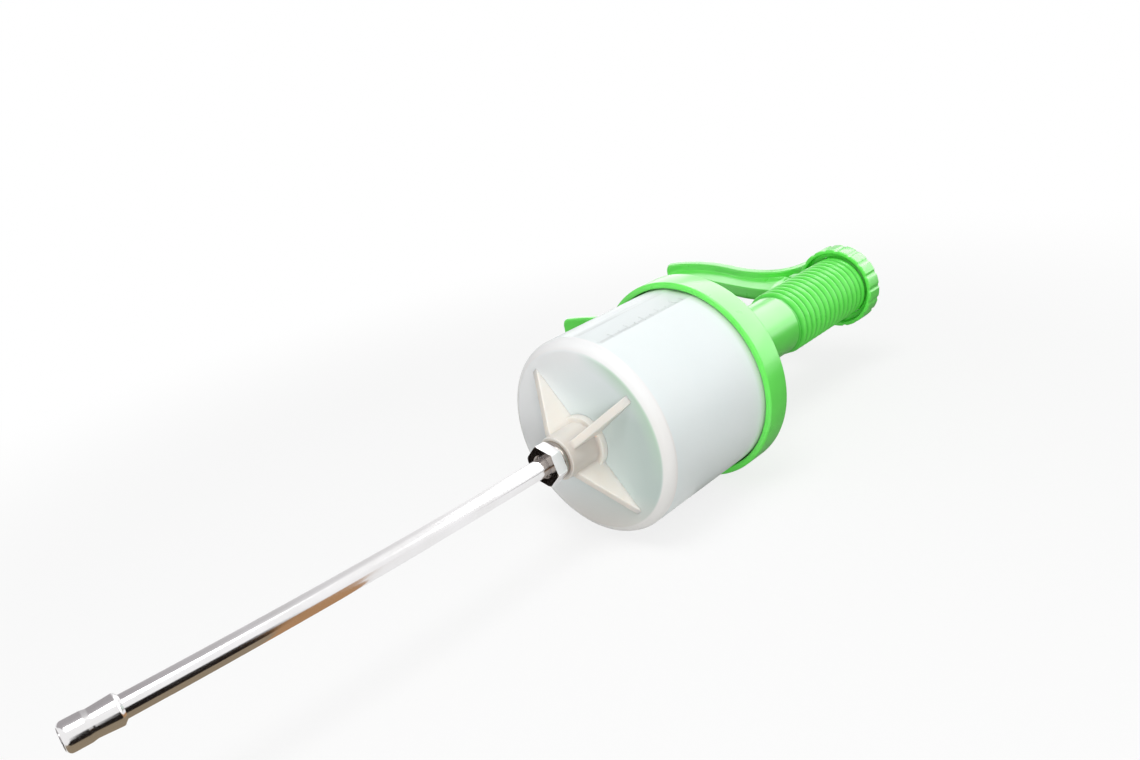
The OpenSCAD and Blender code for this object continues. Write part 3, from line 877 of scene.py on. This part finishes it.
def make_dose_nut():
    """Scalloped ring with a hollow lip towards the handles."""
    centre = DOSE_R + SCALLOP_R * SCALLOP_OUT
    bore = CREST_R + THREAD_FIT
    lip = DOSE_R - 2.1
    x_floor = X_DOSE + 4.5

    def drop(angle, x, r):
        """How deep a scallop is at an angle."""
        if r < (lip + DOSE_R) / 2:
            return 0
        step = 2 * math.pi / SCALLOPS
        off = (angle + step / 2) % step - step / 2
        side = centre * math.sin(off)
        if abs(side) >= SCALLOP_R:
            return 0
        return max(0, DOSE_R - (centre * math.cos(off) - math.sqrt(SCALLOP_R ** 2 - side ** 2)))

    outer_edge, inner_edge, floor_edge = 0.8, 0.5, 0.3
    outline = filleted([
        (X_DOSE, lip, inner_edge), (X_DOSE, DOSE_R, outer_edge), (X_DOSE_END, DOSE_R, outer_edge),
        (X_DOSE_END, bore, inner_edge), (x_floor, bore, floor_edge), (x_floor, lip, inner_edge)])
    nut = piece("dose_nut_ring", lathe(outline, steps=480, drop=drop), "dose_ring", LOOKS["green_plastic"],
                sharp=40)
    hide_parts("dose_nut")


def make_palm_handle():
    """Rear handle: flange, web, the pad on the dose nut and the eye on the rod."""
    line = curve(PALM_SHARES, X_DOSE, LINE_STEPS)
    front = curve(PALM_FRONT_SHARES, X_DOSE, EDGE_STEPS)
    thin, grown = 0.45, 0.3
    flange = bead(line, 1, lambda share: BEAD_DEPTH * (thin + (1 - thin) * min(1, share / grown)))
    thick = wedge(inset(line, BEAD_DEPTH * thin / 2, 1), front, front[-1].y, 1)

    x_pad = X_DOSE - CAP_GAP
    pad_len, pad_half, pad_top = 6, 8, DOSE_R + 2
    tongue, inside_eye = GRIP_BORE - 1, ROD_R + 1
    root = inset(line, BEAD_DEPTH / 2, 1)[PALM_NECK * LINE_STEPS:]
    web = plate([(X_EYE, inside_eye), (X_WASHER, inside_eye), (X_WASHER, tongue), (x_pad, tongue),
                 (x_pad, pad_top), *root, *front], WEB_HALF)

    seat = CREST_R + CAP_GAP
    half_angle, half_steps = math.asin(pad_half / seat), 12
    angles = [half_angle * (k / half_steps - 1) for k in range(2 * half_steps + 1)]
    arc = [(seat * math.cos(a), seat * math.sin(a)) for a in angles]
    foot = [(pad_top, pad_half), (pad_top, -pad_half)]
    pad = skin([[Vector((x, y, z)) for y, z in arc + foot] for x in (x_pad - pad_len, x_pad)])

    eye = round_sleeve(X_EYE, X_WASHER, ROD_R, EYE_R)
    handle = piece("palm_handle", joined(flange, web, thick, pad, eye), "plunger", LOOKS["green_plastic"])
    fused(handle, voxel=0.4, smoothing=5)
    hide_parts("moving_handle")


def make_spring():
    """Return spring: one smooth coiled wire."""
    wire, middle, turns, around, sides = 0.9, 8.5, 14, 40, 12
    x0, x1 = X_SPRING + wire, X_SPRING_END - wire
    rings = []
    for i in range(turns * around + 1):
        a = 2 * math.pi * i / around
        x = x0 + (x1 - x0) * i / (turns * around)
        ring = []
        for k in range(sides):
            b = 2 * math.pi * k / sides
            r = middle + wire * math.cos(b)
            ring.append(Vector((x + wire * math.sin(b), r * math.cos(a), r * math.sin(a))))
        rings.append(ring)
    spring = piece("return_spring_wire", skin(rings), "body", LOOKS["spring_steel"])
    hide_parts("return_spring")
    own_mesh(spring)


make_barrel()
make_hub()
make_scale()
make_tube()
make_tip()
make_nut()
make_fitting()
make_tail_plug()
make_cap()
make_finger_handle()
make_thread()
make_dose_nut()
make_palm_handle()
make_spring()

for row in frame["record"]["subparts"]:
    cad = frame["nodes"][row["node"]]
    cad.data.materials.clear()
    cad.data.materials.append(LOOKS[row["material_slot"]])


# Stage, light and camera

def seen_directly(tree):
    """One for rays of the camera, of mirrors and of clear walls, zero for the rest; returns the socket."""
    path = tree.nodes.new("ShaderNodeLightPath")
    seen = path.outputs["Is Camera Ray"]
    for name in ("Is Glossy Ray", "Is Transmission Ray"):
        most = tree.nodes.new("ShaderNodeMath")
        most.operation = "MAXIMUM"
        tree.links.new(seen, most.inputs[0])
        tree.links.new(path.outputs[name], most.inputs[1])
        seen = most.outputs["Value"]
    return seen


def mixed(tree, factor, first, second):
    """Mixes two shaders by a factor socket; returns the shader socket."""
    mix = tree.nodes.new("ShaderNodeMixShader")
    tree.links.new(factor, mix.inputs["Fac"])
    tree.links.new(first, mix.inputs[1])
    tree.links.new(second, mix.inputs[2])
    return mix.outputs["Shader"]


def make_world():
    """White to the eye, and a plain pale light on the object."""
    ambient = 0.36
    world = bpy.data.worlds.new("studio")
    bpy.context.scene.world = world
    world.use_nodes = True
    tree = world.node_tree
    lit = tree.nodes["Background"]
    shown = tree.nodes.new("ShaderNodeBackground")
    for background, strength in ((lit, ambient), (shown, 1.0)):
        adjust(background, {"Color": (1, 1, 1, 1), "Strength": strength})
    surface = mixed(tree, seen_directly(tree), lit.outputs["Background"], shown.outputs["Background"])
    tree.links.new(surface, tree.nodes["World Output"].inputs["Surface"])


def flat_object(name, corners, material):
    """A flat sheet of the stage."""
    mesh = bpy.data.meshes.new(name)
    mesh.from_pydata(corners, [], [tuple(range(len(corners)))])
    mesh.materials.append(material)
    sheet = bpy.data.objects.new(name, mesh)
    bpy.context.scene.collection.objects.link(sheet)
    return sheet


def floor_material():
    """Pale floor that keeps a soft shadow near the object and fades into the white further out. The light
    that it throws back at the object is that of a darker floor."""
    near_white, fade_start, fade_end = 0.8, 220, 550
    material, tree, shader = new_material("floor")
    adjust(shader, {"Base Color": (0.46, 0.45, 0.43, 1), "Roughness": 0.9, "Specular IOR Level": 0.0})
    shaded = tree.nodes.new("ShaderNodeBsdfDiffuse")
    adjust(shaded, {"Color": (0.95, 0.95, 0.95, 1)})
    glow = tree.nodes.new("ShaderNodeEmission")
    adjust(glow, {"Strength": 1.0})
    place = tree.nodes.new("ShaderNodeTexCoord")
    away = tree.nodes.new("ShaderNodeVectorMath")
    away.operation = "LENGTH"
    tree.links.new(place.outputs["Object"], away.inputs[0])
    fade = tree.nodes.new("ShaderNodeMapRange")
    fade.interpolation_type = "SMOOTHSTEP"
    adjust(fade, {"From Min": fade_start * MM, "From Max": fade_end * MM,
                  "To Min": near_white, "To Max": 1.0})
    tree.links.new(away.outputs["Value"], fade.inputs["Value"])
    shown = mixed(tree, fade.outputs["Result"], shaded.outputs["BSDF"], glow.outputs["Emission"])
    surface = mixed(tree, seen_directly(tree), shader.outputs["BSDF"], shown)
    tree.links.new(surface, tree.nodes["Material Output"].inputs["Surface"])
    return material


def make_floor():
    """Floor under the object, far wider than the view."""
    half, low = 6000 * MM, cad_box[0][2]
    flat_object("floor", [(-half, -half, low), (half, -half, low), (half, half, low), (-half, half, low)],
                floor_material())


def mirror_card(name, corners, colour, run=None):
    """A studio card that only gloss and polished metal reflect. Corners are millimetres on the barrel's axis.
    A run is a second colour, and the stations between which the first one turns into it."""
    material, tree, shader = new_material(name)
    adjust(shader, {"Base Color": (0, 0, 0, 1), "Specular IOR Level": 0.0, "Emission Color": (*colour, 1),
                    "Emission Strength": 1.0})
    if run:
        end_colour, start, end = run
        along = between(tree, stations(tree)[0], start, end)
        tree.links.new(blend(tree, along, colour, end_colour), shader.inputs["Emission Color"])
    card = flat_object(name, [at(*p) for p in corners], material)
    card.visible_camera = False
    card.visible_diffuse = False
    card.visible_transmission = False
    card.visible_shadow = False


def make_table_cards():
    """The dark table that the tube, the tip and the undersides reflect."""
    black, slate = (0.012, 0.009, 0.008), (0.20, 0.20, 0.19)
    khaki, tan = (0.30, 0.24, 0.165), (0.46, 0.26, 0.13)
    table, wall_top = 1 - CAP_R, 90
    x_end, near, middle, far = -300, 45, -50, -560
    dark_near, dark_middle, dark_far = (-142, near), (-136, middle), (-50, far)
    tan_near, tan_middle, tan_far = (-100, near), (-95, middle), (60, far)

    def lying(*corners):
        """Corners of a sheet on the table's top."""
        return [(x, y, table) for x, y in corners]

    mirror_card("table_far", lying((x_end, middle), dark_middle, dark_far, (x_end, far)), black)
    mirror_card("table_wall", [(x_end, far, table), (*dark_far, table), (*dark_far, wall_top),
                               (x_end, far, wall_top)], black)
    mirror_card("table_near", lying((x_end, near), dark_near, dark_middle, (x_end, middle)), khaki)
    mirror_card("table_edge", lying(dark_near, tan_near, tan_middle, tan_far, dark_far, dark_middle), tan)
    mirror_card("table_side", lying((-170, 46), (-50, 46), (-50, 160), (-170, 160)), black)
    mirror_card("table_under", lying((40, 160), (40, -60), (90, -60), (90, -300), (420, -300), (420, 260)),
                slate)


def make_room_cards():
    """The grey room, the bright window and the wall under it that gloss and chrome reflect."""
    grey, white = (0.42, 0.40, 0.41), (1, 1, 1)
    pale, light, bright = ((level, level, level) for level in (2.3, 3.2, 5.5))
    left, right = 1400, -1500
    jamb, wall_left, wall_right = 750, 700, -250
    head, sill, skirting, ground = (900, 1500), (1100, 380), (1150, 60), (1150, -40)
    slant = [(1025, jamb, 800), (1064, 300, 580), (1100, 0, 380)]

    def upright(y0, y1, foot, top):
        """Corners of a sheet between two y stations, from its foot's x and z to its top's."""
        return [(foot[0], y0, foot[1]), (foot[0], y1, foot[1]), (top[0], y1, top[1]), (top[0], y0, top[1])]

    mirror_card("room", [(-700, -60, 1110), (400, -60, 1110), (400, 900, -40), (-700, 900, -40)], grey,
                run=(white, -100, 350))
    low_corner, *corners = upright(jamb, right, sill, head)
    mirror_card("window", slant + corners, bright)
    mirror_card("window_foot", [slant[0], low_corner, slant[2], slant[1]], white)
    mirror_card("window_side", upright(left, jamb, sill, head), pale)
    mirror_card("wall_left", upright(left, wall_left, skirting, sill), pale)
    mirror_card("wall_mid", upright(wall_left, wall_right, skirting, sill), white)
    mirror_card("wall_right", upright(wall_right, right, ground, sill), light)


def area_lamp(name, place, size, power):
    """A rectangular lamp that shines on the middle of the object."""
    place, target = at(*place), at(60, 20, 0)
    data = bpy.data.lights.new(name, "AREA")
    data.shape = "RECTANGLE"
    data.size, data.size_y = (length * MM for length in size)
    data.energy = power
    lamp = bpy.data.objects.new(name, data)
    lamp.location = place
    lamp.rotation_euler = (target - place).to_track_quat("-Z", "Y").to_euler()
    bpy.context.scene.collection.objects.link(lamp)
    return lamp


def make_lamps():
    """A soft lamp from above, and one from the front that gloss doesn't show."""
    area_lamp("key", place=(-240, -200, 1000), size=(550, 450), power=4.8)
    front = area_lamp("front", place=(-640, -680, 150), size=(800, 500), power=4.9)
    front.visible_glossy = False


def make_camera():
    """The photograph's view: a 1000 pixel focal length on a frame 1140 pixels wide."""
    focal, wide, sensor = 1000, 1140, 36
    right = Vector((0.6838, -0.7026, -0.1970))
    up = Vector((0.3753, 0.1071, 0.9207))
    back = Vector((-0.6258, -0.7035, 0.3369))
    place = at(-255.07, -284.74, 164.39)
    data = bpy.data.cameras.new("camera")
    data.sensor_width = sensor
    data.lens = sensor * focal / wide
    data.clip_start = 10 * MM
    camera = bpy.data.objects.new("camera", data)
    camera.matrix_world = Matrix.Translation(place) @ Matrix((right, up, back)).transposed().to_4x4()
    bpy.context.scene.collection.objects.link(camera)
    bpy.context.scene.camera = camera


bpy.context.scene.view_settings.view_transform = "Standard"
make_world()
make_floor()
make_table_cards()
make_room_cards()
make_lamps()
make_camera()
